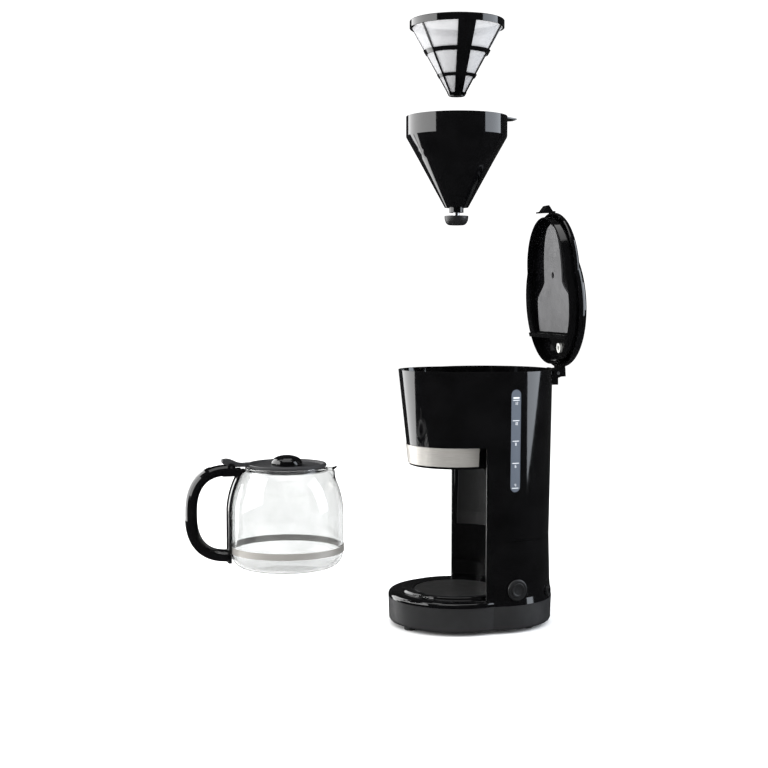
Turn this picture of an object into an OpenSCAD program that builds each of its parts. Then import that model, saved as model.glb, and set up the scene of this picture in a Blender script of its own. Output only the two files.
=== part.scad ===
// Drip coffee maker with a lift-off filter holder, a permanent filter and a glass jug.
// Millimetres, +Z up. The origin is on the floor, on the axis of the hot plate.
// The front of the machine faces -Y and the water tank is at +Y.
// Rest layout: lid open, filter, holder and jug lifted off their seats by the hover sizes.

/* [Body] */
// Radius of the round front of the base
base_r = 81; // [76:1:90]
// Radius of the round back of the base
rear_r = 79; // [76:1:88]
// Distance from the hot plate's axis to the axis of the round back
lobe_gap = 39; // [34:1:46]
// Height of the upper housing's rim above the floor
rim_z = 306; // [290:1:340]
// Height of the underside of the brewing head
head_z = 191.5; // [188:0.5:200]
// Radius of the brewing head at its rim
head_r_top = 69; // [67:0.5:74]
// Radius of the brewing head at its underside
head_r_low = 56.5; // [50:0.5:60]
// Radius of the back of the upper housing at its rim
tower_r_top = 78.5; // [77:0.5:84]
// Radius of the back of the upper housing at the seam
tower_r_low = 75.5; // [74:0.5:80]
// Height of the seam between the lower and the upper housing
seam_z = 108; // [95:1:125]
// Wall of the housings
wall = 2.4; // [1.8:0.1:3.2]

/* [Base] */
// Height of the rubber feet
foot_h = 4; // [2:0.5:8]
// Radius of a rubber foot
foot_r = 7; // [5:0.5:9]
// Height of the top of the matt base skirt
skirt_z = 33; // [28:1:36]
// Height of the glossy deck around the hot plate
deck_z = 40; // [38:0.5:44]
// Floor thickness of the base pan
pan_floor = 2.5; // [1.5:0.5:4]
// Radius of the screw bosses' bores
screw_r = 1.5; // [1:0.1:2]

/* [Hot plate and heater] */
// Radius of the hot plate
plate_r = 50; // [44:1:52]
// How far the hot plate's face stands above the deck
plate_rise = 1; // [0:0.5:2]
// Radius of the heater tube's horseshoe
heater_r = 32; // [26:1:34]
// Radius of the heater tube
heater_tube_r = 4.5; // [3.5:0.5:5]

/* [Jug bay] */
// Radius of the bay wall around the jug
bay_r = 67.8; // [67.4:0.1:70]
// Radius of the bay wall just under the head
bay_r_top = 60; // [58:0.5:62]
// Height where the bay wall starts to lean in
bay_lean_z = 124; // [118:1:130]
// Thickness of the matt bay panel
panel_t = 1.6; // [1:0.1:2]

/* [Gauge, switch and cord inlet] */
// Width of the water gauge window
gauge_w = 12.6; // [10:0.2:16]
// Lowest point of the gauge window
gauge_z0 = 166; // [150:1:180]
// Highest point of the gauge window
gauge_z1 = 286; // [250:1:290]
// Direction of the gauge window around the back's axis, from +X
gauge_a = 8; // [4:1:20]
// Radius of the power button's cap
button_r = 8.4; // [7:0.2:9]
// Travel of the power button
button_travel = 3; // [1:0.5:4]
// Radius of the power button's bezel
bezel_r = 12.8; // [11.5:0.1:14]
// Height of the power button's axis
button_z = 51; // [50:0.5:60]
// Direction of the power button around the back's axis, from +X
button_a = 10; // [4:1:25]
// Radius of the cord inlet's bore
inlet_r = 3.6; // [3:0.1:4.5]
// Direction of the cord inlet around the back's axis, from +X
inlet_a = 52; // [40:1:80]

/* [Lid] */
// Gap between the closed lid and the housing's rim
lid_gap = 0.4; // [0.3:0.1:1]
// Rise of the lid's crown over the head
lid_front_h = 12.5; // [10:0.5:18]
// Rise of the lid's crown over the tank
lid_rear_h = 18; // [14:0.5:24]
// Thickness of the lid's shell
lid_wall = 2; // [1.6:0.1:3]
// How far the lid's inner skirt reaches below the rim
lid_skirt = 10; // [6:0.5:12]
// Opening angle of the lid
lid_open = 87; // [80:1:95]
// Radius of the hinge pin
pin_r = 2; // [1.5:0.1:2.5]
// Distance of the hinge axis behind the housing's rim
hinge_out = 6.5; // [6:0.5:9]
// Depth of the hinge axis below the housing's rim
hinge_drop = 5.5; // [5:0.5:8]

/* [Filter holder] */
// Outer radius of the holder's rim
holder_r = 60; // [56:0.5:61]
// Height of the holder's straight band
holder_band = 23; // [18:1:28]
// Height of the holder's cone
holder_cone = 84; // [76:1:86]
// Radius of the cone's lower end
holder_low_r = 14; // [12:0.5:16]
// Wall of the holder
holder_wall = 2; // [1.4:0.1:2.6]
// Travel of the drip valve
valve_travel = 3.4; // [2:0.1:3.6]
// Height that the holder hovers above its seat
holder_hover = 302; // [302:1:340]

/* [Filter] */
// Outer radius of the filter's rim
filter_r = 56; // [50:0.5:57]
// Height of the filter's rim
filter_rim = 8.5; // [6:0.5:12]
// Total height of the filter
filter_h = 88; // [80:1:90]
// Radius of the filter's lower end
filter_low_r = 8.7; // [7:0.1:9.5]
// Height that the filter hovers above its seat in the holder
filter_hover = 128; // [110:1:140]

/* [Jug] */
// Largest radius of the glass
jug_r = 66; // [60:0.5:66]
// Radius of the glass at its rim
neck_r = 48; // [44:0.5:50]
// Height of the glass
jug_h = 118; // [112:1:119]
// Radius of the glass's rounded lower edge
jug_edge = 18; // [14:1:20]
// Height where the shoulder of the glass begins
shoulder_z = 69; // [62:1:80]
// Wall of the glass
glass_t = 2.2; // [1.6:0.1:3]
// How far the handle reaches from the jug's axis
handle_reach = 112; // [100:1:120]
// Opening angle of the jug's lid
jug_lid_open = 75; // [60:5:85]
// Distance that the jug stands in front of its seat
jug_out = 206; // [150:1:220]
// Height that the jug stands above its seat
jug_rise = 36; // [30:1:45]

/* [Hidden] */
$fn = 72;

fit = 0.3;           // gap between pieces that are laid together
deck_t = 2.4;        // thickness of the deck around the hot plate
hose_r = 6.2;        // outer radius of the water hoses
screw_fit = 0.05;    // radial gap between a screw's thread and its bore
seam_gap = 0.4;      // visible joint line between housings
pin_fit = 0.05;      // radial running clearance of pins and plungers
slide_fit = 0.3;     // radial gap around pieces that slide
plate_z = deck_z + plate_rise;
pan_z = foot_h;

bay_wall_r = bay_r + panel_t + 0.2;
nose_y = 18;
nose_r = (tower_nose_x(nose_y) - bay_nose_x(nose_y)) / 2 - 0.25;
nose_x = (tower_nose_x(nose_y) + bay_nose_x(nose_y)) / 2;
tank_z = 120;
partition_z = rim_z - lid_skirt - 4;
well_floor = 2.4;
valve_hole_r = 17.5;

hinge_y = lobe_gap + tower_r_top + hinge_out;
hinge_z = rim_z - hinge_drop;
knuckle_r = 5.2;
knuckle_w = 24;
lug_w = 5;
lid_z = rim_z + lid_gap;
lid_fr = head_r_top + 0.6;
lid_rr = tower_r_top + 0.6;

holder_top = rim_z - 2.5;
holder_h = holder_band + holder_cone;
neck_out_r = 8.5;
neck_bore_r = 6.4;
neck_h = 6;
seat_t = 2;
stem_r = 1.8;
valve_r = 14.2;
valve_h = 11;
valve_gap = valve_travel + 0.4;
valve_hollow = valve_travel + 0.6;                  // depth of the plunger's recess for the spring
filter_seat = holder_h - 3;

jug_bottom_r = jug_r - jug_edge;
jug_lid_gap = 0.3;
jug_hinge_y = -(neck_r + 18);
jug_hinge_z = jug_h + 1.5;
handle_mid_z = 66;
handle_half = 50;
handle_root_y = jug_r + 2;
handle_t = 7.2;
handle_w = 10;
fork_in = 6.4;
spine_a = 9;
screw_y = jug_r + 3;

feet = [[0, 0], [27, -64], [-27, -64], [50, 74], [-50, 74]];
bosses = [[60, -22], [-60, -22], [18, 106], [-18, 106]];

function lerp(a, b, t) = a + (b - a) * t;
function unit(v) = v / norm(v);
function head_r(z) = lerp(head_r_low, head_r_top, (z - head_z) / (rim_z - head_z));
function tower_r(z) = lerp(tower_r_low, tower_r_top, (z - seam_z) / (rim_z - seam_z));
function tower_nose_x(y) = sqrt(pow(tower_r_low, 2) - pow(lobe_gap - y, 2));
function bay_nose_x(y) = sqrt(pow(bay_wall_r, 2) - pow(y, 2));

// Quarter of a rounded outline from [r + a, z] up to [r, z + b]; n is 2 for an ellipse.
function bend(r, z, a, b, n = 2, steps = 12) =
    [for (i = [0:steps]) let (t = 90 * i / steps)
        [r + a * pow(abs(cos(t)), 2 / n), z + b * pow(abs(sin(t)), 2 / n)]];
function reversed(list) = [for (i = [len(list) - 1:-1:0]) list[i]];

module rear() translate([0, lobe_gap, 0]) children();

// Places children, drawn with +Z pointing outward, on the back's round wall.
module on_rear(angle, r, z) rear() rotate([0, 0, angle]) translate([r, 0, z]) rotate([0, 90, 0])
    children();

// Material of a circle of radius r about the plate's axis from z0 to z1 that leans in at the top.
module bay_core(r, r_top, z0, z1)
    rotate_extrude()
        polygon([[0, z0], [r, z0], [r, bay_lean_z], [r_top, z1], [0, z1]]);

module tower_cone(inset, z0, z1)
    rear() translate([0, 0, z0])
        cylinder(h = z1 - z0, r1 = tower_r(z0) - inset, r2 = tower_r(z1) - inset);

module nose_cut(y, z0, z1) translate([-100, y - 150, z0]) cube([200, 150, z1 - z0]);

// ---------------------------------------------------------------- base

module lobes(front, back, z0, z1) {
    translate([0, 0, z0]) cylinder(h = z1 - z0, r = front);
    rear() translate([0, 0, z0]) cylinder(h = z1 - z0, r = back);
}

module skirt_lobe(r) rotate_extrude()
    polygon([[0, pan_z], [r - 5, pan_z], [r - 2.2, pan_z + 0.9], [r - 1, pan_z + 3.2],
             [r, skirt_z], [0, skirt_z]]);

module base_pan() color("#2b2b2c") {
    difference() {
        union() {
            skirt_lobe(base_r);
            rear() skirt_lobe(rear_r);
        }
        difference() {
            lobes(base_r - wall - 1, rear_r - wall - 1, pan_z + pan_floor, skirt_z + 1);
            for (p = bosses)
                translate([p.x, p.y, 0]) cylinder(h = skirt_z - 4, r = 4);
        }
        for (p = bosses)
            translate([p.x, p.y, -1]) cylinder(h = skirt_z + 10, r = screw_r + 0.1);
        for (p = bosses)
            translate([p.x, p.y, -1]) cylinder(h = pan_z + 4, r = 3.2);
        for (p = feet)
            translate([p.x, p.y, -1]) cylinder(h = pan_z + 20, r = 2.5);
        for (i = [-3:3])
            translate([-18, 30 + 5 * i - 1, -1]) cube([36, 2, 20]);
    }
}

module rubber_feet() color("#161616")
    for (p = feet) translate([p.x, p.y, 0]) rotate_extrude()
        polygon([[0, 0], [foot_r - 1, 0], [foot_r, 1], [foot_r - 0.5, foot_h - 0.05],
                 [2.4, foot_h - 0.05], [2.4, foot_h + pan_floor + 0.2],
                 [3.4, foot_h + pan_floor + 0.8], [0, foot_h + pan_floor + 2.5]]);

module base_screws() color("#8d9094")
    for (p = bosses) translate([p.x, p.y, 0]) {
        translate([0, 0, pan_z + 1]) cylinder(h = 1.9, r = 2.9);
        translate([0, 0, pan_z + 1]) cylinder(h = skirt_z - 2, r = screw_r);
    }

// ---------------------------------------------------------------- lower housing

collar_r = 62;                                      // crest of the collar around the hot plate
plate_hole_r = plate_r + fit + 0.2;

module deck_ring() rotate_extrude()
    polygon(concat([[plate_hole_r, deck_z - 2], [plate_hole_r, plate_z + 0.4],
                    [collar_r, plate_z + 2.2]],
                   [for (t = [0:15:90])
                       [collar_r + 2.4 * sin(t), plate_z + 2.2 - 2 * (1 - cos(t))]],
                   [[collar_r + 3.4, deck_z - 0.5], [collar_r + 3.4, deck_z - 2]]));

module deck_body(r) rotate_extrude()
    polygon(concat([[0, skirt_z + seam_gap], [r, skirt_z + seam_gap], [r, skirt_z + 1.5]],
                   bend(r - 10, skirt_z + 1.5, 10, deck_z - skirt_z - 1.5, 2.4),
                   [[0, deck_z]]));

module lower_rear(inset, z0, z1) rear() rotate_extrude()
    polygon([[0, z0], [rear_r - inset, z0], [rear_r - 1.2 - inset, skirt_z + 8],
             [rear_r - 2.2 - inset, skirt_z + 20], [tower_r_low - inset, z1], [0, z1]]);

// Screw post of height h, tied to the round back by a web where it stands free.
module boss_post(p, h) {
    translate([p.x, p.y, 0]) cylinder(h = h, r = 3.6);
    if (p.y > 0) rear() rotate([0, 0, atan2(p.y - lobe_gap, p.x)])
        translate([norm([p.x, p.y - lobe_gap]), -1.2, 0]) cube([20, 2.4, h]);
}

module lower_housing() color("#0b0b0c") difference() {
    union() {
        deck_body(base_r);
        deck_ring();
        difference() {
            lower_rear(0, skirt_z + seam_gap, seam_z - seam_gap);
            bay_core(bay_r, bay_r, deck_z, seam_z + 1);
            nose_cut(nose_y, deck_z, seam_z + 1);
        }
        for (s = [-1, 1])
            translate([s * nose_x, nose_y + 0.3, deck_z - 1])
                cylinder(h = seam_z - seam_gap - deck_z + 1, r = nose_r);
    }
    translate([0, 0, skirt_z - 5]) cylinder(h = 30, r = plate_hole_r);
    difference() {
        union() {
            translate([0, 0, skirt_z - 1]) cylinder(h = 3, r = base_r - wall - 1);
            translate([0, 0, skirt_z - 1]) cylinder(h = deck_z - deck_t - skirt_z + 1, r = base_r - 10);
        }
        for (p = bosses) boss_post(p, 200);
    }
    difference() {
        lower_rear(wall, skirt_z - 1, seam_z + 1);
        bay_core(bay_r + wall, bay_r + wall, skirt_z - 2, seam_z + 2);
        nose_cut(nose_y + wall, skirt_z - 2, seam_z + 2);
        for (p = bosses) boss_post(p, skirt_z + 12);
    }
    for (p = bosses)
        translate([p.x, p.y, 0]) cylinder(h = skirt_z + (p.y < 0 ? 3.5 : 9), r = screw_r + screw_fit);
    on_rear(button_a, 60, button_z) cylinder(h = 40, r = button_r + 1.5);
    on_rear(button_a, rear_face_r + 0.5, button_z) cylinder(h = 9, r = bezel_r + fit);
    on_rear(inlet_a, 60, inlet_z) cylinder(h = 40, r = inlet_r + 1.4);
    on_rear(inlet_a, rear_face_r + 0.3, inlet_z) cylinder(h = 9, r = inlet_flange_r + fit);
}

plate_t = 2.2;                                      // thickness of the hot plate
heater_z = deck_z - deck_t - hose_r - fit;          // the hoses pass just under the deck
flange_z = heater_z + heater_tube_r + fit;          // underside of the plate's flange and heater boss
flange_t = 0.8;
seal_gap = 0.05;

module hot_plate() color("#3a3a3c") rotate_extrude()
    polygon([[0, plate_z - plate_t], [heater_r - 6, plate_z - plate_t], [heater_r - 5, flange_z],
             [heater_r + 5, flange_z], [heater_r + 6, plate_z - plate_t],
             [plate_r - 5, plate_z - plate_t], [plate_r - 1.6, flange_z],
             [plate_r + 3.4, flange_z], [plate_r + 3.4, flange_z + flange_t],
             [plate_r, flange_z + flange_t], [plate_r, plate_z - 0.8],
             [plate_r - 0.8, plate_z], [plate_r - 3, plate_z], [plate_r - 4, plate_z - 0.3],
             [0, plate_z - 0.3]]);

module plate_seal() color("#7a7d80") rotate_extrude() let (z = flange_z + flange_t + seal_gap)
    translate([plate_r + 1.2, z]) square([2, deck_z - deck_t - seal_gap - z]);

// ---------------------------------------------------------------- heater

heater_gap_a = 20;
leg_x = heater_r * sin(heater_gap_a);
leg_y = heater_r * cos(heater_gap_a);
leg_l = plate_r + 13 - leg_y;                        // the legs end behind the plate's flange

module heater_tube() color("#b5b7b9") translate([0, 0, heater_z]) difference() {
    union() {
        rotate([0, 0, 90 + heater_gap_a]) rotate_extrude(angle = 360 - 2 * heater_gap_a)
            translate([heater_r, 0]) circle(r = heater_tube_r);
        for (s = [-1, 1]) translate([s * leg_x, leg_y - 3, 0])
            rotate([-90, 0, 0]) cylinder(h = leg_l + 3, r = heater_tube_r + 0.02);
    }
    for (s = [-1, 1]) translate([s * leg_x, leg_y + leg_l - 14, 0]) rotate([-90, 0, 0])
        cylinder(h = 20, r = heater_tube_r - 1.2);
}

module heater_clamps() color("#9a9c9f")
    for (a = [-90, 10, 170]) rotate([0, 0, a])
        translate([heater_r - 9, -4, heater_z - heater_tube_r - fit - 1.4]) cube([18, 8, 1.2]);

module thermostat() color("#c9c4b6") translate([0, -6, plate_z - plate_t - fit - 2.4]) {
    translate([0, 0, -6]) cylinder(h = 6, r = 8);
    cylinder(h = 2.4, r = 10);
    for (s = [-1, 1]) translate([s * 5 - 1.5, -0.4, -14]) cube([3, 0.8, 8]);
}

fuse_r = 2.2;

module thermal_fuse() color("#d8d8d2") translate([-16, 10, plate_z - plate_t - fit - fuse_r])
    rotate([90, 0, 0]) cylinder(h = 20, r = fuse_r);

// ---------------------------------------------------------------- upper housing

module head_outer() rotate_extrude()
    polygon([[0, head_z], [head_r_low - 3, head_z], [head_r_low - 0.8, head_z + 0.8],
             [head_r(head_z + 3), head_z + 3], [head_r_top, rim_z], [0, rim_z]]);

module well_cavity() rotate_extrude()
    polygon([[0, head_z + well_floor], [head_r_low - 6, head_z + well_floor],
             [head_r(head_z + 6) - wall, head_z + 6], [head_r(rim_z + 1) - wall, rim_z + 1],
             [0, rim_z + 1]]);

cone_seat_z = holder_top - holder_band - 8;

module seat_ring() rotate_extrude() let (r = holder_cone_r(holder_band + 8) + 2 * fit)
    polygon([[r, cone_seat_z], [head_r(cone_seat_z) - wall + 1, cone_seat_z],
             [head_r(cone_seat_z - 5) - wall + 1, cone_seat_z - 6], [r, cone_seat_z - 1.6]]);

module hinge_lugs() for (s = [-1, 1])
    translate([s * (knuckle_w / 2 + slide_fit + lug_w / 2), 0, 0]) {
        translate([-lug_w / 2, hinge_y, hinge_z]) rotate([0, 90, 0])
            cylinder(h = lug_w, r = knuckle_r + 0.3);
        translate([-lug_w / 2, hinge_y - hinge_out - wall, hinge_z - 14])
            cube([lug_w, hinge_out + wall, 14]);
    }

module stadium(w, z0, z1, depth) {
    for (z = [z0 + w / 2, z1 - w / 2])
        translate([0, 0, z]) rotate([0, 90, 0]) cylinder(h = depth, r = w / 2);
    translate([0, -w / 2, z0 + w / 2]) cube([depth, w, z1 - z0 - w]);
}

// Outline of the head grown by gap, which the tank's hollow stays clear of.
module head_keep(gap) rotate_extrude()
    polygon([[0, head_z - 1], [head_r(head_z - 1) + gap, head_z - 1],
             [head_r(rim_z + 2) + gap, rim_z + 2], [0, rim_z + 2]]);

module tank_hollow() difference() {
    tower_cone(wall, tank_z, rim_z + 1);
    bay_core(bay_wall_r + wall, bay_r_top + panel_t + wall, tank_z - 1, head_z + wall);
    head_keep(0.4);
    nose_cut(nose_y + wall + 2, tank_z - 1, rim_z + 2);
}

module lower_hollow() difference() {
    tower_cone(wall, seam_z - 1, tank_z - wall);
    bay_core(bay_wall_r + wall, bay_wall_r + wall, seam_z - 2, tank_z);
    nose_cut(nose_y + wall + 2, seam_z - 2, tank_z);
}

module tower_body() {
    difference() {
        tower_cone(0, seam_z, rim_z);
        bay_core(bay_wall_r, bay_r_top + panel_t + 0.2, seam_z - 1, head_z);
        nose_cut(nose_y, seam_z - 1, band_z1 + 1);
    }
    for (s = [-1, 1]) translate([s * nose_x, nose_y + 0.3, seam_z])
        cylinder(h = band_z1 + 3 - seam_z, r = nose_r);
}

module upper_housing() color("#0b0b0c") difference() {
    union() {
        difference() {
            union() {
                head_outer();
                tower_body();
            }
            well_cavity();
            tank_hollow();
            lower_hollow();
        }
        seat_ring();
        hinge_lugs();
    }
    difference() {
        tower_cone(wall + 0.6, partition_z, rim_z + 1);
        nose_cut(0, partition_z - 1, rim_z + 2);
    }
    translate([0, 0, head_z - 1]) cylinder(h = 6, r = valve_hole_r);
    rear() rotate([0, 0, gauge_a]) translate([55, 0, 0])
        stadium(gauge_w + 0.3, gauge_z0, gauge_z1, 40);
    translate([outlet.x, outlet.y, tank_z - 10]) cylinder(h = 30, r = 6.9);
    translate([riser.x, riser.y, tank_z - 10]) cylinder(h = 30, r = 4.6);
    translate([-40, hinge_y, hinge_z]) rotate([0, 90, 0]) cylinder(h = 80, r = pin_r + pin_fit);
}

module bay_panel() color("#2e2e30") intersection() {
    rotate_extrude() polygon([[bay_r, seam_z + 0.4], [bay_r + panel_t, seam_z + 0.4],
        [bay_r + panel_t, bay_lean_z], [bay_r_top + panel_t, head_z - 0.4],
        [bay_r_top, head_z - 0.4], [bay_r, bay_lean_z]]);
    translate([-100, nose_y + 4, 0]) cube([200, 100, 300]);
}

module gauge_shell(outer_inset, inner_inset, w, z0, z1) intersection() {
    difference() {
        tower_cone(outer_inset, gauge_z0 - 20, rim_z);
        tower_cone(inner_inset, gauge_z0 - 21, rim_z + 1);
    }
    rear() rotate([0, 0, gauge_a]) translate([55, 0, 0]) stadium(w, z0, z1, 40);
}

module gauge_window() color("#8fa0b0") {
    gauge_shell(0.5, wall + 0.3, gauge_w, gauge_z0 + 0.15, gauge_z1 - 0.15);
    gauge_shell(wall + 0.2, wall + 1.6, gauge_w + 5, gauge_z0 - 2.5, gauge_z1 + 2.5);
}

band_z0 = head_z + 3.2;
band_z1 = band_z0 + 22;
band_a = 101;

module steel_band() color("#b9b6b0") rotate([0, 0, -90 - band_a])
    rotate_extrude(angle = 2 * band_a)
        polygon([[head_r(band_z0) + 0.05, band_z0], [head_r(band_z0) + 0.7, band_z0],
                 [head_r(band_z1) + 0.7, band_z1], [head_r(band_z1) + 0.05, band_z1]]);

// ---------------------------------------------------------------- water path

outlet = [-leg_x, 88];
riser = [leg_x, 94];
hose_bend = 13;

module tank_outlet() color("#c8c6c0") translate([outlet.x, outlet.y, 0]) rotate_extrude()
    polygon([[2.8, tank_z - 14.4], [4.1, tank_z - 14.4], [4.1, tank_z - 8],
             [6.8, tank_z - 8], [6.8, tank_z + 0.1], [9, tank_z + 0.1],
             [9, tank_z + 1.6], [2.8, tank_z + 1.6]]);

module check_valve() color("#d4d2cc") translate([outlet.x, outlet.y, 0]) difference() {
    union() {
        translate([0, 0, 62]) cylinder(h = 16, r = 6.5);
        translate([0, 0, 54]) cylinder(h = 8.5, r = 4.7);
        translate([0, 0, 77.5]) cylinder(h = 9, r = 4.1);
    }
    translate([0, 0, 53]) cylinder(h = 40, r = 2.6);
}

// Silicone hose from a heater leg at x to an upright at y: r is its radius and top its end.
module elbow(x, y, r, top) translate([x, 0, heater_z]) {
    translate([0, leg_y + leg_l - 9, 0]) rotate([-90, 0, 0])
        cylinder(h = y - hose_bend - leg_y - leg_l + 9, r = r);
    translate([0, y - hose_bend, hose_bend]) rotate([0, 90, 0]) rotate_extrude(angle = 90)
        translate([hose_bend, 0]) circle(r = r);
    translate([0, y, hose_bend]) cylinder(h = top - heater_z - hose_bend, r = r);
}

module elbow_hose(x, y, top) difference() {
    elbow(x, y, hose_r, top);
    elbow(x, y, hose_r - 1.4, top);
}

module cold_hose() color("#dad8d2") {
    elbow_hose(outlet.x, outlet.y, 61);
    translate([outlet.x, outlet.y, 79.5]) difference() {
        cylinder(h = tank_z - 8.5 - 79.5, r = hose_r);
        translate([0, 0, -1]) cylinder(h = 60, r = 4.2);
    }
}

module riser_tube() color("#dad8d2") difference() {
    union() {
        elbow_hose(riser.x, riser.y, 62);
        translate([riser.x, riser.y, 62]) cylinder(h = rim_z - lid_skirt - 67, r = 4.5);
        translate([riser.x, riser.y, 58]) cylinder(h = 4, r = hose_r - 1);
    }
    translate([riser.x, riser.y, 50]) cylinder(h = rim_z, r = 3);
}

module clamp_ring() difference() {
    cylinder(h = 4, r = hose_r + 1.2);
    translate([0, 0, -1]) cylinder(h = 6, r = hose_r + 0.1);
}

module hose_clamps() color("#a8aaad") {
    translate([outlet.x, outlet.y, 56]) clamp_ring();
    translate([riser.x, riser.y, 56]) clamp_ring();
    translate([outlet.x, outlet.y, 81]) clamp_ring();
}

// ---------------------------------------------------------------- switch, terminals, inlet

bezel_face = 1.2;
rear_face_r = rear_r - 1.8;
inlet_z = skirt_z + 9.5;
inlet_flange_r = inlet_r + 3;

module button_bezel() color("#101011") on_rear(button_a, rear_face_r, button_z) difference() {
    union() {
        translate([0, 0, -12]) cylinder(h = 14, r = button_r + 1.3);
        translate([0, 0, 0.6]) rotate_extrude()
            polygon([[0, 0], [bezel_r, 0], [bezel_r - 0.6, bezel_face],
                     [bezel_r - 1.6, bezel_face + 0.6], [0, bezel_face + 0.6]]);
    }
    translate([0, 0, -20]) cylinder(h = 40, r = button_r + slide_fit);
}

cap_hollow = 1.6;
spring_bore = 4.4;                                  // bore in the cap that takes the spring
switch_top = -13.2;

module button_cap() color("#141415") on_rear(button_a, rear_face_r, button_z) rotate_extrude()
    polygon([[0, 0.6 - cap_hollow], [spring_bore, 0.6 - cap_hollow], [spring_bore, -5.5],
             [button_r, -5.5], [button_r, 2.6], [button_r - 0.6, 3.2],
             [button_r - 2.4, 3.0], [button_r - 3.2, 2.6], [0, 2.3]]);

module button_spring() color("#b0b2b5") on_rear(button_a, rear_face_r, button_z)
    translate([0, 0, switch_top + fit]) difference() {
        cylinder(h = 0.4 - cap_hollow - button_travel - switch_top - fit, r = spring_bore - 0.4);
        translate([0, 0, -1]) cylinder(h = 20, r = spring_bore - 1.2);
    }

module switch_block() color("#1c1c1e") on_rear(button_a, rear_face_r, button_z)
    translate([-9, -9, switch_top - 5.5]) cube([18, 18, 5.5]);

module terminal_block() color("#e2dfd6") translate([30, 56, pan_z + pan_floor + 0.1]) {
    cube([24, 12, 9]);
    for (i = [0:2]) translate([4 + 8 * i, 6, 8.9]) cylinder(h = 2, r = 2.4);
}

module cord_inlet() color("#101011") on_rear(inlet_a, rear_face_r, inlet_z) difference() {
    union() {
        translate([0, 0, -8]) cylinder(h = 10, r = inlet_r + 1.2);
        translate([0, 0, 0.4]) cylinder(h = 2.6, r = inlet_flange_r);
        translate([0, 0, -8]) cylinder(h = 4.6, r = inlet_r + 2.6);
    }
    translate([0, 0, -20]) cylinder(h = 40, r = inlet_r);
}

// ---------------------------------------------------------------- lid

// Turns children drawn in the closed position to the open rest position.
module opened() translate([0, hinge_y, hinge_z]) rotate([-lid_open, 0, 0])
    translate([0, -hinge_y, -hinge_z]) children();

module dome(r, h, z0 = lid_z) rotate_extrude()
    polygon(concat([[0, z0], [r, z0], [r, lid_z + 1.5]],
                   bend(0, lid_z + 1.5, r, h - 1.5, 3, 16)));

module lid_shell() color("#0b0b0c") opened() difference() {
    union() {
        dome(lid_fr, lid_front_h);
        rear() dome(lid_rr, lid_rear_h);
        translate([-knuckle_w / 2, hinge_y, hinge_z]) rotate([0, 90, 0])
            cylinder(h = knuckle_w, r = knuckle_r);
        translate([-knuckle_w / 2, hinge_y - 5, hinge_z]) cube([knuckle_w, 10, hinge_drop + 6]);
        translate([-knuckle_w / 2, hinge_y - 14, lid_z]) cube([knuckle_w, 15, 5.5]);
        finger_tab();
    }
    dome(lid_fr - lid_wall, lid_front_h - lid_wall, lid_z - 1);
    rear() dome(lid_rr - lid_wall, lid_rear_h - lid_wall, lid_z - 1);
    translate([-50, hinge_y, hinge_z]) rotate([0, 90, 0]) cylinder(h = 100, r = pin_r + pin_fit);
}

tab_w = 17;
tab_y = head_r_top + 0.6;

module finger_tab() {
    translate([-tab_w / 2, -tab_y - 1.6, rim_z - 16]) cube([tab_w, 1.6, 18]);
    translate([-tab_w / 2, -tab_y - 1.6, lid_z]) cube([tab_w, 5, 2.4]);
    translate([-tab_w / 2, 0, 0]) rotate([90, 0, 90]) linear_extrude(tab_w)
        polygon([[-tab_y - 1, rim_z - 13], [-tab_y - 8.6, rim_z - 6.6],
                 [-tab_y - 9, rim_z - 5.4], [-tab_y - 8.4, rim_z - 4.4], [-tab_y - 1, rim_z]]);
}

module liner_outline(inset, z0, z1) lobes(lid_fr - inset, lid_rr - inset, z0, z1);

liner_in = 5;
liner_z = lid_z + 1;
rib_y = 79;

module lid_liner() color("#111112") opened() difference() {
    union() {
        difference() {
            liner_outline(liner_in, rim_z - lid_skirt, liner_z + 1.4);
            liner_outline(liner_in + 1.8, rim_z - lid_skirt - 1, liner_z);
        }
        intersection() {
            liner_outline(liner_in, rim_z - lid_skirt - 3, liner_z + 1);
            translate([-100, rib_y - 2.5, rim_z - lid_skirt - 2]) cube([200, 5, lid_skirt + 3]);
        }
    }
    translate([0, 6, 250]) cylinder(h = 100, r = 4);
    translate([riser.x, riser.y, 250]) cylinder(h = 100, r = 3);
}

// Half width of the channel cover at distance y behind the hot plate's axis.
function channel_w(y) = y < 12
    ? 29 * pow(1 - pow(abs((y - 6) / 62), 2.2), 0.5)
    : lerp(29, 56, pow(sin(90 * min((y - 12) / 26, 1)), 2)) * (y > 66 ? 1 - (y - 66) / 160 : 1);

module lid_channel() color("#1b1b1d") opened() difference() {
    translate([0, 0, liner_z - 2.2]) linear_extrude(2)
        polygon(concat([for (i = [0:28]) let (y = -56 + i * 131 / 28) [channel_w(y), y]],
                       [for (i = [28:-1:0]) let (y = -56 + i * 131 / 28) [-channel_w(y), y]]));
    translate([0, 6, 250]) cylinder(h = 100, r = 4);
}

module lid_port_seal() color("#c9c7c1") opened() translate([riser.x, riser.y, liner_z - 3.2])
    difference() {
        cylinder(h = 3, r = 6);
        translate([0, 0, -1]) cylinder(h = 6, r = 3);
    }

module lid_hinge_pin() color("#9a9c9f") translate([-(knuckle_w / 2 + lug_w + 1), hinge_y, hinge_z])
    rotate([0, 90, 0]) cylinder(h = knuckle_w + 2 * lug_w + 2, r = pin_r);

// ---------------------------------------------------------------- filter holder and drip valve

function holder_cone_r(depth) =
    lerp(holder_r, holder_low_r, (depth - holder_band) / holder_cone);

module holder_place() translate([0, 0, holder_top + holder_hover]) children();

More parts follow.
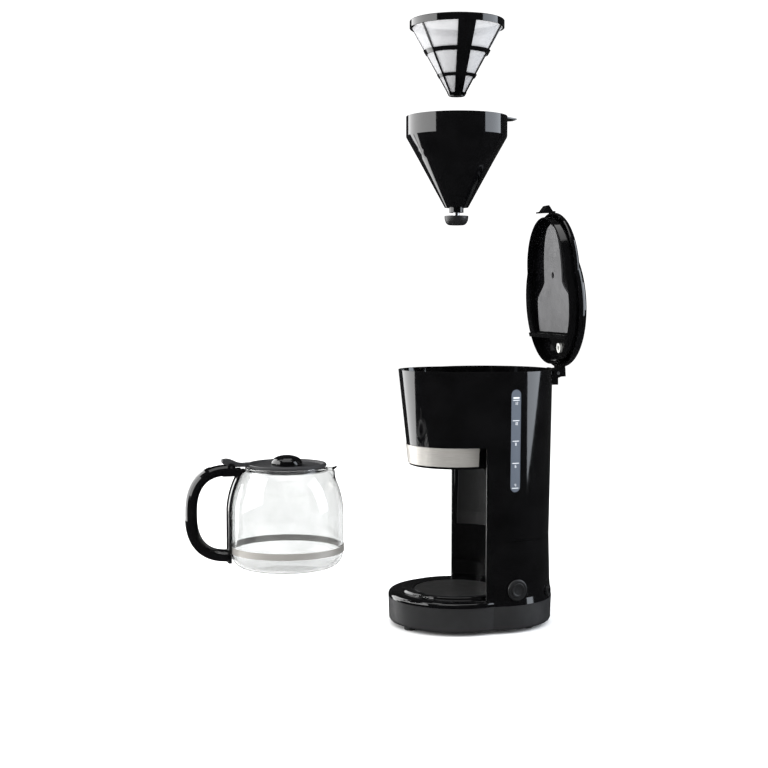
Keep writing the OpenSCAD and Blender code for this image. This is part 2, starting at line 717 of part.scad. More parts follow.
module filter_holder() color("#0d0d0e") holder_place() {
    rotate_extrude() let (t = holder_wall, h = holder_h)
        polygon([[holder_r, 0], [holder_r, -holder_band], [holder_low_r, -h], [neck_out_r, -h],
                 [neck_out_r, -h - neck_h], [neck_out_r - 1.5, -h - neck_h],
                 [neck_out_r - 1.5, -h - 4.5], [stem_r + pin_fit + 0.15, -h - 4.5],
                 [stem_r + pin_fit + 0.15, -h - 4.5 + seat_t], [neck_bore_r, -h - 4.5 + seat_t],
                 [neck_bore_r, -h + t], [holder_low_r - 1.6, -h + t],
                 [holder_r - t, -holder_band + 0.8], [holder_r - t, 0]]);
    for (a = [15:30:345]) rotate([0, 0, a]) holder_rib();
    translate([0, 0, -2.2]) linear_extrude(1.6) difference() {
        polygon([[-24, 52], [24, 52], [9, 71], [7, 72.5], [-7, 72.5], [-9, 71]]);
        circle(r = holder_r - holder_wall);
    }
}

module holder_rib() rotate([90, 0, 0]) translate([0, 0, -0.9]) linear_extrude(1.8)
    polygon([[holder_r - 1, -holder_band + 1], [holder_r - 0.1, -holder_band - 1],
             [holder_low_r + 0.8, -holder_h + 3], [holder_low_r - 1, -holder_h + 1.5]]);

module drip_plunger() color("#111112") holder_place() translate([0, 0, -holder_h]) {
    translate([0, 0, -neck_h - valve_gap - valve_hollow - 0.5])
        cylinder(h = neck_h + valve_gap + valve_hollow - 0.5, r = stem_r);
    rotate_extrude() let (z = -neck_h - valve_gap)
        polygon(concat([[0, z - valve_hollow], [4.2, z - valve_hollow], [4.2, z], [valve_r, z],
                        [valve_r, z - 1.4]],
                       [for (t = [10:10:90])
                           [lerp(valve_r, 8, 1 - cos(t)), z - 1.4 - (valve_h - 1.4) * sin(t)]],
                       [[0, z - valve_h]]));
}

module drip_seal() color("#8a3b2c") holder_place()
    translate([0, 0, -holder_h - 4.5 + seat_t + 0.05]) difference() {
        cylinder(h = 1.4, r = neck_bore_r - 0.8);
        translate([0, 0, -1]) cylinder(h = 4, r = stem_r + 0.02);
    }

module drip_spring() color("#b0b2b5") holder_place()
    translate([0, 0, -holder_h - neck_h - valve_gap + 0.05]) difference() {
        cylinder(h = neck_h - 4.5 + valve_gap - 0.1, r = 3.6);
        translate([0, 0, -1]) cylinder(h = 20, r = 2.8);
    }

// ---------------------------------------------------------------- permanent filter

function filter_cone_r(depth) =
    lerp(filter_r - 2, filter_low_r, (depth - filter_rim) / (filter_h - filter_rim));

module filter_place() holder_place() translate([0, 0, -filter_seat + filter_h + filter_hover])
    children();

module cone_ring(d0, d1, out, t) rotate_extrude()
    polygon([[filter_cone_r(d0) + out, -d0], [filter_cone_r(d1) + out, -d1],
             [filter_cone_r(d1) + out - t, -d1], [filter_cone_r(d0) + out - t, -d0]]);

module filter_rib(w_top, w_low) intersection() {
    cone_ring(filter_rim - 2, filter_h - 2, 0.4, 1.4);
    rotate([90, 0, 90]) translate([0, 0, 1]) linear_extrude(80)
        polygon([[-w_top / 2, -filter_rim + 1], [w_top / 2, -filter_rim + 1],
                 [w_low / 2, -filter_h], [-w_low / 2, -filter_h]]);
}

wide_rib_a = -4;                                    // turn of the wide ribs from the side

module filter_frame() color("#0d0d0e") filter_place() {
    rotate_extrude() polygon([[filter_r, -0.6], [filter_r, -filter_rim], [filter_r - 2.4, -filter_rim],
                              [filter_r - 2.4, 0], [filter_r - 0.6, 0]]);
    cone_ring(35, 39.5, 0.7, 1.95);
    cone_ring(63, 66.5, 0.7, 1.95);
    cone_ring(filter_h - 4, filter_h - 0.5, 0.7, 1.95);
    translate([0, 0, -filter_h]) cylinder(h = 1.4, r = filter_low_r + 0.2);
    for (i = [0:5]) rotate([0, 0, 60 * i + wide_rib_a])
        filter_rib(i % 3 == 0 ? 21 : 2.4, i % 3 == 0 ? 9 : 1.8);
}

module filter_mesh() color("#c9c9c8") filter_place()
    cone_ring(filter_rim + 0.05, filter_h - 1.6, -1.3, 0.5);

// ---------------------------------------------------------------- jug

module jug_place() translate([0, -jug_out, plate_z + 0.2 + jug_rise]) children();

function glass_profile(inset) = concat(
    [[0, inset], [jug_bottom_r, inset]],
    [for (t = [15:15:75]) [jug_bottom_r + (jug_edge - inset) * sin(t),
                           jug_edge - (jug_edge - inset) * cos(t)]],
    bend(neck_r - inset, shoulder_z, jug_r - neck_r, jug_h - 2 - shoulder_z, 1.55, 10),
    [[neck_r - inset, jug_h + (inset > 0 ? 1 : 0)], [0, jug_h + (inset > 0 ? 1 : 0)]]);

module spout(inset) hull() {
    translate([0, 33, jug_h - 15]) cylinder(h = 14, r1 = 9 - inset, r2 = 14 - inset, $fn = 32);
    translate([0, 55.5, jug_h - 5]) sphere(r = 3.4 - inset / 2, $fn = 20);
}

module jug_glass() color("#dfe6e8", 0.5) jug_place() difference() {
    union() {
        rotate_extrude() polygon(glass_profile(0));
        spout(0);
    }
    rotate_extrude() polygon(glass_profile(glass_t));
    translate([0, 0, 2.6]) spout(1.6);
}

module jug_band() color("#b9b6b0") jug_place() rotate_extrude()
    translate([jug_r + 0.1, jug_edge + 1]) square([0.8, 7.5]);

function handle_at(t) = let (n = 2 / 2.5, c = cos(t), s = sin(t))
    [0, -handle_root_y - (handle_reach - handle_root_y) * pow(abs(c), n),
     handle_mid_z + handle_half * (s < 0 ? -1 : 1) * pow(abs(s), n)];

module handle_grip(rings = 36, sides = 16) {
    span = [for (i = [0:rings]) lerp(-90, 90, i / rings)];
    dirs = [for (i = [0:rings])
        unit(handle_at(span[min(i + 1, rings)]) - handle_at(span[max(i - 1, 0)]))];
    skin = [for (i = [0:rings]) let (side = [1, 0, 0], up = cross(dirs[i], side))
        for (k = [0:sides - 1]) let (a = 360 * k / sides)
            handle_at(span[i]) + handle_w * cos(a) * side + handle_t * sin(a) * up];
    polyhedron(skin, concat([[for (k = [0:sides - 1]) k]],
        [for (i = [0:rings - 1]) for (k = [0:sides - 1]) let (m = (k + 1) % sides)
            [i * sides + k, (i + 1) * sides + k, (i + 1) * sides + m, i * sides + m]],
        [[for (k = [sides - 1:-1:0]) rings * sides + k]]));
}

tail_out = 10;                                      // reach of the thumb lever behind its hinge
tail_up = 4.5;                                      // height of its lower corner above the hinge
// Floor of the fork's slot, just under the lever's tail when the lid is open.
slot_z = jug_hinge_z - tail_out * sin(jug_lid_open) + tail_up * cos(jug_lid_open) - 0.4;

module jug_handle() color("#0d0d0e") jug_place() difference() {
    union() {
        handle_grip();
        translate([-handle_w, -76, slot_z - 1.6]) cube([2 * handle_w, 23, jug_h - 1 - slot_z + 1.6]);
        for (s = [-1, 1]) translate([s * (fork_in + 2) - 2, jug_hinge_y, jug_hinge_z])
            rotate([0, 90, 0]) cylinder(h = 4, r = 4.4);
        for (s = [-1, 1]) translate([s * (fork_in + 2) - 2, jug_hinge_y - 4.4, jug_h - 4])
            cube([4, 8.8, 5.5]);
    }
    translate([-fork_in, -90, slot_z]) cube([2 * fork_in, 60, 40]);
    translate([0, 0, -1]) cylinder(h = shoulder_z, r = jug_r + 4.9);
    translate([-30, jug_hinge_y, jug_hinge_z]) rotate([0, 90, 0]) cylinder(h = 60, r = 1.5);
    rotate_extrude() polygon([for (p = glass_profile(0)) [p.x + (p.x > 1 ? 4.9 : 0), p.y]]);
    translate([0, -screw_y - 12, 17]) rotate([-90, 0, 0]) cylinder(h = 20, r = 1.6);
}

module handle_spine() color("#101011") jug_place() difference() {
    rotate([0, 0, -90 - spine_a]) rotate_extrude(angle = 2 * spine_a)
        polygon(concat([[jug_r + 1.1, 8]],
                       [[jug_r + 4.6, 8]],
                       [for (p = bend(neck_r, shoulder_z, jug_r - neck_r,
                                      jug_h - 2 - shoulder_z, 1.55, 10)) [p.x + 4.6, p.y]],
                       reversed([for (p = bend(neck_r, shoulder_z, jug_r - neck_r,
                                      jug_h - 2 - shoulder_z, 1.55, 10)) [p.x + 1.1, p.y]])));
    translate([0, -screw_y - 12, 17]) rotate([-90, 0, 0]) cylinder(h = 20, r = 1.6);
}

module handle_screws() color("#8d9094") jug_place() {
    translate([0, -screw_y - 8, 17]) rotate([-90, 0, 0]) cylinder(h = 11, r = 1.4);
}

module jug_hinge_pin() color("#9a9c9f") jug_place()
    translate([-fork_in - 3.5, jug_hinge_y, jug_hinge_z]) rotate([0, 90, 0])
        cylinder(h = 2 * fork_in + 7, r = 1.45);

lid_flange_r = neck_r - 1.6;
knob_r = 18.5;
knob_h = 11.8;

module jug_lid() color("#1d1d1f") jug_place() difference() {
    union() {
        rotate_extrude() let (z = jug_h + jug_lid_gap)
            polygon([[0, z - 1], [neck_r - glass_t - 2.6, z - 1], [neck_r - glass_t - 2.6, z - 6],
                     [neck_r - glass_t - 0.9, z - 6], [neck_r - glass_t - 0.9, z],
                     [lid_flange_r, z], [lid_flange_r, z + 2.6], [lid_flange_r - 0.8, z + 3.4],
                     [lid_flange_r - 3, z + 3.4], [lid_flange_r - 6, z + 1], [0, z + 1]]);
        translate([-fork_in + slide_fit, 0, 0]) rotate([90, 0, 90])
            linear_extrude(2 * (fork_in - slide_fit)) lever_outline();
        translate([-fork_in + slide_fit, jug_hinge_y, jug_hinge_z]) rotate([0, 90, 0])
            cylinder(h = 2 * (fork_in - slide_fit), r = 3.6);
    }
    translate([-30, jug_hinge_y, jug_hinge_z]) rotate([0, 90, 0]) cylinder(h = 60, r = 1.5);
}

// Side view of the thumb lever, with a gentle wave along its top.
module lever_outline() let (y0 = jug_hinge_y - tail_out, y1 = -lid_flange_r + 4, z = jug_h)
    polygon(concat([[y1, z + 1.2], [y0 + 15, z + 1.4], [y0 + 2, z + 4.6],
                    [y0, jug_hinge_z + tail_up]],
                   [for (i = [0:12]) let (u = i / 12)
                       [lerp(y0, y1, u), z + lerp(9.6, 4, pow(u, 1.5)) + 1.4 * sin(430 * u)]]));

module jug_knob() color("#0d0d0e") jug_place() translate([0, 0, jug_h + jug_lid_gap + 1.05])
    difference() {
        rotate_extrude() polygon(concat([[0, 0], [knob_r, 0], [knob_r, 1.2]],
                                        bend(0, 1.2, knob_r, knob_h - 1.2, 2.2, 12)));
        translate([0, 0, -1]) cylinder(h = 20, r = 3);
    }

// ---------------------------------------------------------------- assembly

base_pan();
rubber_feet();
lower_housing();
hot_plate();
plate_seal();
heater_tube();
heater_clamps();
thermostat();
thermal_fuse();
upper_housing();
bay_panel();
gauge_window();
steel_band();
tank_outlet();
check_valve();
cold_hose();
riser_tube();
hose_clamps();
button_bezel();
switch_block();
terminal_block();
cord_inlet();
base_screws();
lid_hinge_pin();
lid_shell();
lid_liner();
lid_channel();
lid_port_seal();
filter_holder();
drip_plunger();
drip_seal();
drip_spring();
filter_frame();
filter_mesh();
jug_glass();
jug_band();
jug_handle();
handle_spine();
handle_screws();
jug_hinge_pin();
jug_lid();
jug_knob();
button_cap();
button_spring();
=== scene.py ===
"""Looks of the drip coffee maker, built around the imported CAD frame. Metres, +Z up, front is -Y."""

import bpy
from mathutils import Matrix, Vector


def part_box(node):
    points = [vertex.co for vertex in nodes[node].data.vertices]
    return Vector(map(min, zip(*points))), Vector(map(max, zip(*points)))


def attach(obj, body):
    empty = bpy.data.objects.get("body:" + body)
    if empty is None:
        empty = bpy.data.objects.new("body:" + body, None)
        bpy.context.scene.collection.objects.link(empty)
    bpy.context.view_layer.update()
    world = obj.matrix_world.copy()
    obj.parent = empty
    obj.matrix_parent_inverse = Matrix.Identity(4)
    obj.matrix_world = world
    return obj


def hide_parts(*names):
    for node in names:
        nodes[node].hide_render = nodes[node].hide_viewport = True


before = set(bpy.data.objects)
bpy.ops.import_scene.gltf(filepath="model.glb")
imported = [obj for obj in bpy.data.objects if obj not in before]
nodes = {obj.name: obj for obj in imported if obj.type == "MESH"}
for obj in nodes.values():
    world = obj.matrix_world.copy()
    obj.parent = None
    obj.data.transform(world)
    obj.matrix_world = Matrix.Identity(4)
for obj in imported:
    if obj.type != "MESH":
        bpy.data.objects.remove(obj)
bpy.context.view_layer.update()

from math import sin, cos, pi, radians, atan2

import bpy
import bmesh
from mathutils import Vector

scene = bpy.context.scene

# ------------------------------------------------------------------ camera

VIEW = radians(76)
cam_data = bpy.data.cameras.new("camera")
cam_data.lens = 65.6
cam_data.sensor_width = 36
cam = bpy.data.objects.new("camera", cam_data)
scene.collection.objects.link(cam)
cam.location = (1.605, -0.489, 0.396)
cam.rotation_euler = (radians(90 - 3.68), 0, VIEW)
scene.camera = cam
TO_CAMERA = Vector((sin(VIEW), -cos(VIEW), 0))
TO_RIGHT = Vector((cos(VIEW), sin(VIEW), 0))

# ------------------------------------------------------------------ materials


class Mat:
    """A node material with helpers that add and join nodes."""

    def __init__(self, name):
        self.m = bpy.data.materials.new(name)
        self.m.use_nodes = True
        self.t = self.m.node_tree
        self.bsdf = self.t.nodes["Principled BSDF"]
        self.out = self.t.nodes["Material Output"]
        self.coord = self.add("ShaderNodeTexCoord")

    def add(self, kind, **props):
        n = self.t.nodes.new(kind)
        for k, v in props.items():
            setattr(n, k, v)
        return n

    def link(self, a, b):
        self.t.links.new(a, b)

    def set(self, **values):
        for k, v in values.items():
            s = self.bsdf.inputs[k.replace("_", " ")]
            s.default_value = (*v, 1) if isinstance(v, tuple) and len(v) == 3 else v
        return self

    def noise(self, scale, detail=4, rough=0.55, stretch=None):
        n = self.add("ShaderNodeTexNoise")
        n.inputs["Scale"].default_value = scale
        n.inputs["Detail"].default_value = detail
        n.inputs["Roughness"].default_value = rough
        src = self.coord.outputs["Object"]
        if stretch:
            mp = self.add("ShaderNodeMapping")
            mp.inputs["Scale"].default_value = stretch
            self.link(src, mp.inputs["Vector"])
            src = mp.outputs["Vector"]
        self.link(src, n.inputs["Vector"])
        return n.outputs["Fac"]

    def ramp(self, fac, stops):
        r = self.add("ShaderNodeValToRGB")
        e = r.color_ramp.elements
        while len(e) < len(stops):
            e.new(0.5)
        for el, (pos, col) in zip(e, stops):
            el.position = pos
            el.color = (*col, 1) if isinstance(col, tuple) else (col, col, col, 1)
        self.link(fac, r.inputs["Fac"])
        return r.outputs["Color"]

    def math(self, op, a, b=None, c=None):
        n = self.add("ShaderNodeMath", operation=op)
        for i, v in enumerate((a, b, c)):
            if v is None:
                continue
            if isinstance(v, (int, float)):
                n.inputs[i].default_value = v
            else:
                self.link(v, n.inputs[i])
        return n.outputs[0]

    def colour(self, fac, stops):
        self.link(self.ramp(fac, stops), self.bsdf.inputs["Base Color"])
        return self

    def rough(self, fac, low, high):
        self.link(self.ramp(fac, [(0.3, low), (0.7, high)]), self.bsdf.inputs["Roughness"])
        return self

    def bump(self, height, strength, distance):
        b = self.add("ShaderNodeBump")
        b.inputs["Strength"].default_value = strength
        b.inputs["Distance"].default_value = distance
        self.link(height, b.inputs["Height"])
        self.link(b.outputs["Normal"], self.bsdf.inputs["Normal"])
        return self


def plastic(name, dark, light, r_low, r_high, grain=0.0, grain_size=1500, coat=0.0, ior=1.5):
    """Moulded plastic: slow colour variation, uneven polish and, if asked, a moulded grain."""
    m = Mat(name)
    slow = m.noise(35, 5)
    m.colour(slow, [(0.3, dark), (0.7, light)])
    m.rough(m.noise(140, 6), r_low, r_high)
    if grain:
        m.bump(m.noise(grain_size, 2, 0.6), grain, 0.0002)
    else:
        m.bump(m.noise(22, 2, 0.4), 0.05, 0.0006)
    return m.set(IOR=ior, Coat_Weight=coat, Coat_Roughness=0.03).m


GLOSS = plastic("black_gloss", (0.0012, 0.0012, 0.0014), (0.0028, 0.0028, 0.0031), 0.045, 0.085, ior=1.56)
LINER = plastic("lid_channel_satin", (0.05, 0.05, 0.052), (0.075, 0.075, 0.078), 0.3, 0.42, 0.1, 1800)
SATIN = plastic("black_satin", (0.006, 0.006, 0.0065), (0.011, 0.011, 0.0115), 0.38, 0.5, 0.25, 2200)
PANEL = plastic("bay_satin", (0.008, 0.008, 0.0085), (0.012, 0.012, 0.0125), 0.42, 0.55, 0.22, 2400)
SKIRT = plastic("base_matt", (0.014, 0.014, 0.0148), (0.021, 0.021, 0.022), 0.4, 0.52, 0.35, 1900)
RUBBER = plastic("rubber", (0.012, 0.012, 0.012), (0.022, 0.022, 0.022), 0.7, 0.85, 0.5, 1300)
LIDMATT = plastic("lid_matt", (0.02, 0.02, 0.022), (0.032, 0.032, 0.034), 0.42, 0.55, 0.3, 1900)
CERAMIC = plastic("ceramic", (0.62, 0.6, 0.54), (0.74, 0.72, 0.66), 0.5, 0.65, 0.3, 1500)
SILICONE = plastic("silicone", (0.62, 0.62, 0.6), (0.74, 0.74, 0.71), 0.35, 0.5, 0.1, 900)
SEAL = plastic("seal_grey", (0.14, 0.14, 0.14), (0.2, 0.2, 0.2), 0.6, 0.75, 0.3, 1500)
RED = plastic("seal_red", (0.24, 0.05, 0.03), (0.34, 0.08, 0.05), 0.5, 0.65, 0.3, 1500)


def brushed(name, dark, light, r_low, r_high, stretch, scale=60.0, metallic=1.0):
    """Brushed metal whose streaks run along the stretched direction."""
    m = Mat(name)
    streak = m.noise(scale, 8, 0.7, stretch)
    m.colour(streak, [(0.3, dark), (0.7, light)])
    m.rough(streak, r_low, r_high)
    m.bump(streak, 0.12, 0.0002)
    return m.set(Metallic=metallic).m


STEEL = brushed("brushed_steel", (0.44, 0.42, 0.39), (0.62, 0.6, 0.565), 0.3, 0.46, (1, 1, 45), metallic=0.62)
CLIP = brushed("plated_steel", (0.5, 0.5, 0.5), (0.66, 0.66, 0.67), 0.25, 0.4, (8, 8, 8), 90)
ALU = brushed("aluminium", (0.55, 0.56, 0.57), (0.7, 0.71, 0.72), 0.35, 0.5, (3, 3, 3), 60)


def plate_material():
    """Non-stick coated steel: dark grey with a fine speckle."""
    m = Mat("nonstick")
    speck = m.noise(900, 3, 0.7)
    m.colour(speck, [(0.35, (0.016, 0.016, 0.0165)), (0.65, (0.03, 0.03, 0.0305))])
    m.rough(m.noise(60, 4), 0.3, 0.42)
    m.bump(speck, 0.2, 0.0002)
    return m.set(IOR=1.55).m


PLATE = plate_material()


def gauge_material():
    """Tinted clear window in front of the tank's side, seen as a cool grey."""
    m = Mat("gauge_clear")
    m.colour(m.noise(30, 4, 0.5, (1, 1, 0.3)), [(0.3, (0.085, 0.1, 0.125)), (0.7, (0.115, 0.132, 0.16))])
    m.rough(m.noise(200, 4), 0.16, 0.24)
    m.bump(m.noise(60, 2), 0.05, 0.0004)
    return m.set(IOR=1.46, Coat_Weight=0.4, Coat_Roughness=0.05).m


GAUGE = gauge_material()


def print_material():
    m = Mat("gauge_print")
    m.colour(m.noise(400, 3), [(0.3, (0.6, 0.64, 0.68)), (0.7, (0.78, 0.8, 0.83))])
    m.rough(m.noise(300, 3), 0.35, 0.5)
    return m.m


PRINT = print_material()


def glass_material():
    """Clear borosilicate with faint thickness waves."""
    m = Mat("jug_glass")
    m.colour(m.noise(18, 3), [(0.3, (0.66, 0.665, 0.66)), (0.7, (0.75, 0.755, 0.75))])
    m.rough(m.noise(30, 2), 0.0, 0.012)
    m.bump(m.noise(14, 2, 0.4), 0.12, 0.0012)
    return m.set(Transmission_Weight=1.0, IOR=1.45).m


GLASS = glass_material()


def mesh_material():
    """Woven filter gauze: two crossed sets of fine threads round the cone, open between them."""
    m = Mat("filter_gauze")
    sep = m.add("ShaderNodeSeparateXYZ")
    m.link(m.coord.outputs["Object"], sep.inputs[0])
    ang = m.math("ARCTAN2", sep.outputs["Y"], sep.outputs["X"])
    warp = m.math("ABSOLUTE", m.math("SINE", m.math("MULTIPLY", ang, 150.0)))
    weft = m.math("ABSOLUTE", m.math("SINE", m.math("MULTIPLY", sep.outputs["Z"], 3600.0)))
    thread = m.math("MAXIMUM", warp, weft)
    m.colour(thread, [(0.35, (0.3, 0.3, 0.31)), (0.9, (0.5, 0.5, 0.51))])
    m.rough(m.noise(500, 3), 0.4, 0.6)
    m.bump(thread, 0.5, 0.0002)
    m.link(m.ramp(thread, [(0.35, 0.2), (0.75, 0.62)]), m.bsdf.inputs["Alpha"])
    return m.m


GAUZE = mesh_material()

MATERIAL_OF = {
    "base_pan": SKIRT, "rubber_feet": RUBBER, "lower_housing": GLOSS, "hot_plate": PLATE,
    "plate_seal": SEAL, "heater_tube": ALU, "heater_clamps": CLIP, "thermostat": CERAMIC,
    "thermal_fuse": CERAMIC, "upper_housing": GLOSS, "bay_panel": PANEL, "gauge_window": GAUGE,
    "steel_band": STEEL, "tank_outlet": SILICONE, "check_valve": CERAMIC, "cold_hose": SILICONE,
    "riser_tube": SILICONE, "hose_clamps": CLIP, "button_bezel": SATIN, "switch_block": SATIN,
    "terminal_block": CERAMIC, "cord_inlet": SATIN, "base_screws": CLIP, "lid_hinge_pin": CLIP,
    "lid_shell": GLOSS, "lid_liner": GLOSS, "lid_channel": LINER, "lid_port_seal": SILICONE,
    "filter_holder": GLOSS, "drip_plunger": SATIN, "drip_seal": RED, "drip_spring": CLIP,
    "filter_frame": GLOSS, "filter_mesh": GAUZE, "jug_glass": GLASS, "jug_band": STEEL,
    "jug_handle": GLOSS, "handle_spine": GLOSS, "handle_screws": CLIP, "jug_hinge_pin": CLIP,
    "jug_lid": LIDMATT, "jug_knob": GLOSS, "button_cap": SATIN, "button_spring": CLIP,
}
for name, obj in nodes.items():
    if not obj.material_slots:
        obj.data.materials.append(MATERIAL_OF[name])
    for s in obj.material_slots:
        s.material = MATERIAL_OF[name]

# ------------------------------------------------------------------ mesh helpers


def add_mesh(name, verts, faces, material, body, smooth=True, replaces=()):
    me = bpy.data.meshes.new(name)
    me.from_pydata([tuple(v) for v in verts], [], faces)
    me.validate()
    bm = bmesh.new()
    bm.from_mesh(me)
    bmesh.ops.remove_doubles(bm, verts=bm.verts, dist=1e-6)
    bmesh.ops.recalc_face_normals(bm, faces=bm.faces)
    bm.to_mesh(me)
    bm.free()
    for p in me.polygons:
        p.use_smooth = smooth
    me.materials.append(material)
    o = bpy.data.objects.new(name, me)
    scene.collection.objects.link(o)
    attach(o, body)
    if replaces:
        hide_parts(*replaces)
    return o


def sweep(rings, close_ends=True):
    """Faces for a list of rings, each a list of points of one length."""
    verts = [p for r in rings for p in r]
    n = len(rings[0])
    faces = []
    for i in range(len(rings) - 1):
        for k in range(n):
            m = (k + 1) % n
            faces.append((i * n + k, i * n + m, (i + 1) * n + m, (i + 1) * n + k))
    if close_ends:
        faces.append(tuple(range(n))[::-1])
        faces.append(tuple((len(rings) - 1) * n + k for k in range(n)))
    return verts, faces


# ------------------------------------------------------------------ jug glass


def lerp(a, b, t):
    return a + (b - a) * t


g_lo, g_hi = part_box("jug_glass")
JUG = Vector(((g_lo[0] + g_hi[0]) / 2, (g_lo[1] + g_hi[1]) / 2, g_lo[2]))
JR = (g_hi[0] - g_lo[0]) / 2
JH = g_hi[2] - g_lo[2]
NECK = 0.048
EDGE = 0.018
SHOULDER = 0.069
GLASS_T = 0.0022


def glass_outline(inset):
    """Radius and height of the jug's wall from the middle of its floor to its rim."""
    pts = [(0.0, inset), (0.02, inset), (JR - EDGE - 0.004, inset)]
    for i in range(1, 10):
        t = radians(i * 10)
        lift = 0.0004 * cos(t)
        pts.append((JR - EDGE + (EDGE - inset) * sin(t), EDGE - (EDGE - inset) * cos(t) + lift))
    for i in range(1, 7):
        pts.append((JR - inset, lerp(EDGE, SHOULDER, i / 7)))
    for i in range(0, 17):
        t = radians(90 * i / 16)
        r = NECK - inset + (JR - NECK) * abs(cos(t)) ** (2 / 1.55)
        pts.append((r, SHOULDER + (JH - 0.0045 - SHOULDER) * abs(sin(t)) ** (2 / 1.55)))
    return pts


def build_glass():
    outer = glass_outline(0.0)
    inner = glass_outline(GLASS_T)
    rim = [(NECK + 0.0006, JH - 0.0022), (NECK + 0.0005, JH - 0.0006), (NECK - 0.0011, JH),
           (NECK - GLASS_T - 0.0003, JH - 0.0008), (NECK - GLASS_T, JH - 0.003)]
    line = outer + rim + inner[::-1]
    n = 144
    rings = []
    for r, z in line[1:-1]:
        ring = []
        for k in range(n):
            a = 2 * pi * k / n
            d = abs(atan2(sin(a - pi / 2), cos(a - pi / 2)))
            side = max(0.0, 1 - (d / 0.36) ** 2) ** 1.6
            up = max(0.0, (z - (JH - 0.017)) / 0.017)
            push = 0.0125 * side * up ** 1.5
            ring.append(JUG + Vector(((r + push) * cos(a), (r + push) * sin(a), z - 0.0015 * side * up)))
        rings.append(ring)
    verts, faces = sweep(rings, close_ends=True)
    o = add_mesh("glass_wall", verts, faces, GLASS, "jug", replaces=("jug_glass",))
    return o


build_glass()

# ------------------------------------------------------------------ gauge marks

CUPS = (12, 10, 8, 6, 4)
SEGMENTS = {"0": "abcdef", "1": "bc", "2": "abged", "4": "fgbc", "6": "afgedc", "8": "abcdefg"}


def bar(bm, frame_of, u0, v0, u1, v1):
    """A thin raised rounded bar between two corners of a flat patch on the window."""
    t = 0.00018
    cut = min(u1 - u0, v1 - v0) * 0.25
    outline = [(u0 + cut, v0), (u1 - cut, v0), (u1, v0 + cut), (u1, v1 - cut),
               (u1 - cut, v1), (u0 + cut, v1), (u0, v1 - cut), (u0, v0 + cut)]
    low = [bm.verts.new(frame_of(u, v, -t)) for u, v in outline]
    top = [bm.verts.new(frame_of(u, v, t)) for u, v in outline]
    bm.faces.new(top)
    bm.faces.new(low[::-1])
    for k in range(8):
        m = (k + 1) % 8
        bm.faces.new((low[k], low[m], top[m], top[k]))


def build_gauge_marks():
    rear_y = 0.039
    angle = radians(8)
    z_low, z_high = 0.108, 0.306
    r_low, r_high = 0.0755, 0.0785

    def frame_of(u, v, out):
        r = lerp(r_low, r_high, (v - z_low) / (z_high - z_low)) - 0.0005 + out
        a = angle + u / r
        return Vector((r * cos(a), rear_y + r * sin(a), v))

    bm = bmesh.new()
    tick_z = {12: 0.2734, 10: 0.2497, 8: 0.2258, 6: 0.2000, 4: 0.1708}
    for cups in CUPS:
        z = tick_z[cups]
        bar(bm, frame_of, -0.0042, z - 0.0004, 0.0042, z + 0.0004)
        base = z - 0.0052 if cups != 4 else z + 0.0019
        text = str(cups)
        w, h, s, gap = 0.0017, 0.0033, 0.0004, 0.0008
        total = len(text) * w + (len(text) - 1) * gap
        for i, ch in enumerate(text):
            x = -total / 2 + i * (w + gap)
            places = {"a": (x, base + h - s, x + w, base + h), "d": (x, base, x + w, base + s),
                      "g": (x, base + h / 2 - s / 2, x + w, base + h / 2 + s / 2),
                      "f": (x, base + h / 2, x + s, base + h), "e": (x, base, x + s, base + h / 2),
                      "b": (x + w - s, base + h / 2, x + w, base + h),
                      "c": (x + w - s, base, x + w, base + h / 2)}
            for seg in SEGMENTS[ch]:
                bar(bm, frame_of, *places[seg])
    bar(bm, frame_of, -0.0040, 0.2752, 0.0040, 0.2770)
    me = bpy.data.meshes.new("gauge_marks")
    bm.to_mesh(me)
    bm.free()
    me.materials.append(PRINT)
    o = bpy.data.objects.new("gauge_marks", me)
    scene.collection.objects.link(o)
    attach(o, "machine")


build_gauge_marks()

# ------------------------------------------------------------------ floor, world and lights


def build_floor():
    n = 96
    rings = []
    for r in (0.001, 0.5, 1.5, 4.0, 12.0):
        rings.append([Vector((r * cos(2 * pi * k / n), r * sin(2 * pi * k / n), 0)) for k in range(n)])
    verts, faces = sweep(rings, close_ends=False)
    faces.append(tuple(range(n)))
    me = bpy.data.meshes.new("floor")
    me.from_pydata([tuple(v) for v in verts], [], faces)
    m = Mat("floor_paper")
    m.colour(m.noise(3, 3), [(0.3, (0.9, 0.9, 0.9)), (0.7, (0.92, 0.92, 0.92))])
    m.rough(m.noise(40, 3), 0.85, 0.95)
    me.materials.append(m.set(Specular_IOR_Level=0.0).m)
    o = bpy.data.objects.new("floor", me)
    scene.collection.objects.link(o)
    o.visible_glossy = False


build_floor()

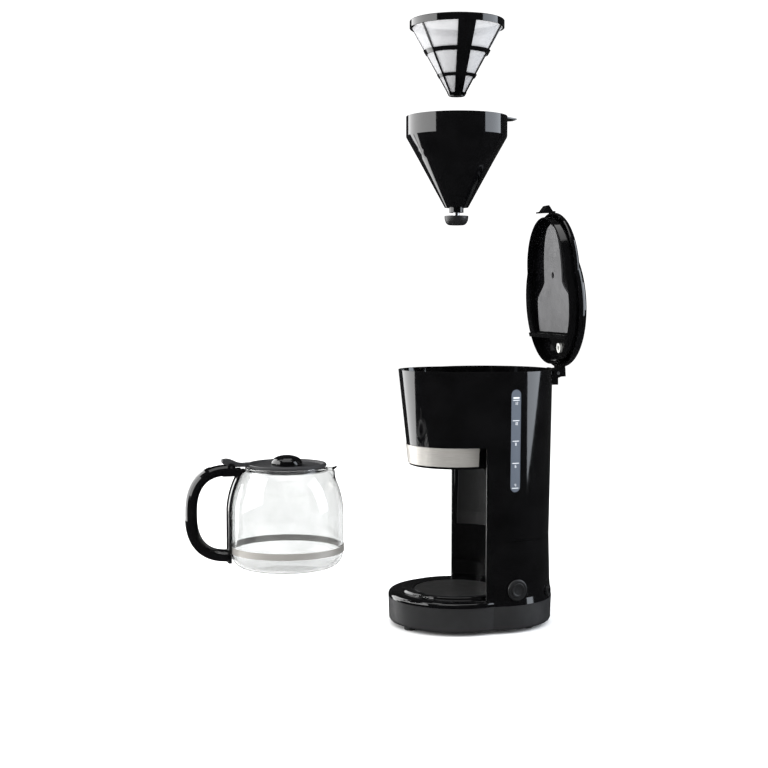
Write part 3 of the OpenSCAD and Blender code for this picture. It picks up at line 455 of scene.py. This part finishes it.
world = bpy.data.worlds.new("studio")
scene.world = world
world.use_nodes = True
wt = world.node_tree
bg = wt.nodes["Background"]
bg.inputs["Color"].default_value = (1, 1, 1, 1)
bg.inputs["Strength"].default_value = 1.14
dim = wt.nodes.new("ShaderNodeBackground")
dim.inputs["Color"].default_value = (1, 1, 1, 1)
dim.inputs["Strength"].default_value = 0.03
path = wt.nodes.new("ShaderNodeLightPath")
inv = wt.nodes.new("ShaderNodeMath")
inv.operation = "SUBTRACT"
inv.inputs[0].default_value = 1.0
wt.links.new(path.outputs["Is Transmission Ray"], inv.inputs[1])
both = wt.nodes.new("ShaderNodeMath")
both.operation = "MULTIPLY"
wt.links.new(path.outputs["Is Glossy Ray"], both.inputs[0])
wt.links.new(inv.outputs[0], both.inputs[1])
mixw = wt.nodes.new("ShaderNodeMixShader")
wt.links.new(both.outputs[0], mixw.inputs["Fac"])
wt.links.new(bg.outputs[0], mixw.inputs[1])
wt.links.new(dim.outputs[0], mixw.inputs[2])
wt.links.new(mixw.outputs[0], wt.nodes["World Output"].inputs["Surface"])


def softbox(name, turn, width, low, high, distance, radiance, tint=(1, 1, 1)):
    """Softbox turned about the object from the camera's side; positive turns go to the right."""
    a = radians(turn)
    d = TO_CAMERA * cos(a) + TO_RIGHT * sin(a)
    light = bpy.data.lights.new(name, "AREA")
    light.shape = "RECTANGLE"
    light.size = width
    light.size_y = high - low
    light.energy = radiance * pi * width * (high - low)
    light.color = tint
    o = bpy.data.objects.new(name, light)
    scene.collection.objects.link(o)
    o.location = d * distance + Vector((0, 0, (low + high) / 2))
    o.rotation_euler = (-d).to_track_quat("-Z", "Z").to_euler()
    o.visible_camera = False
    return o


softbox("left_box", -98, 3.2, 0.0, 2.0, 1.6, 4.2)
softbox("right_box", 86, 1.4, 0.10, 2.0, 1.6, 3.8, (0.86, 0.92, 1.0))

top = bpy.data.lights.new("top_box", "AREA")
top.shape = "SQUARE"
top.size = 2.2
top.energy = 25
top_o = bpy.data.objects.new("top_box", top)
scene.collection.objects.link(top_o)
top_o.location = (0.2, -0.2, 2.6)
top_o.visible_camera = False

scene.view_settings.view_transform = "Standard"
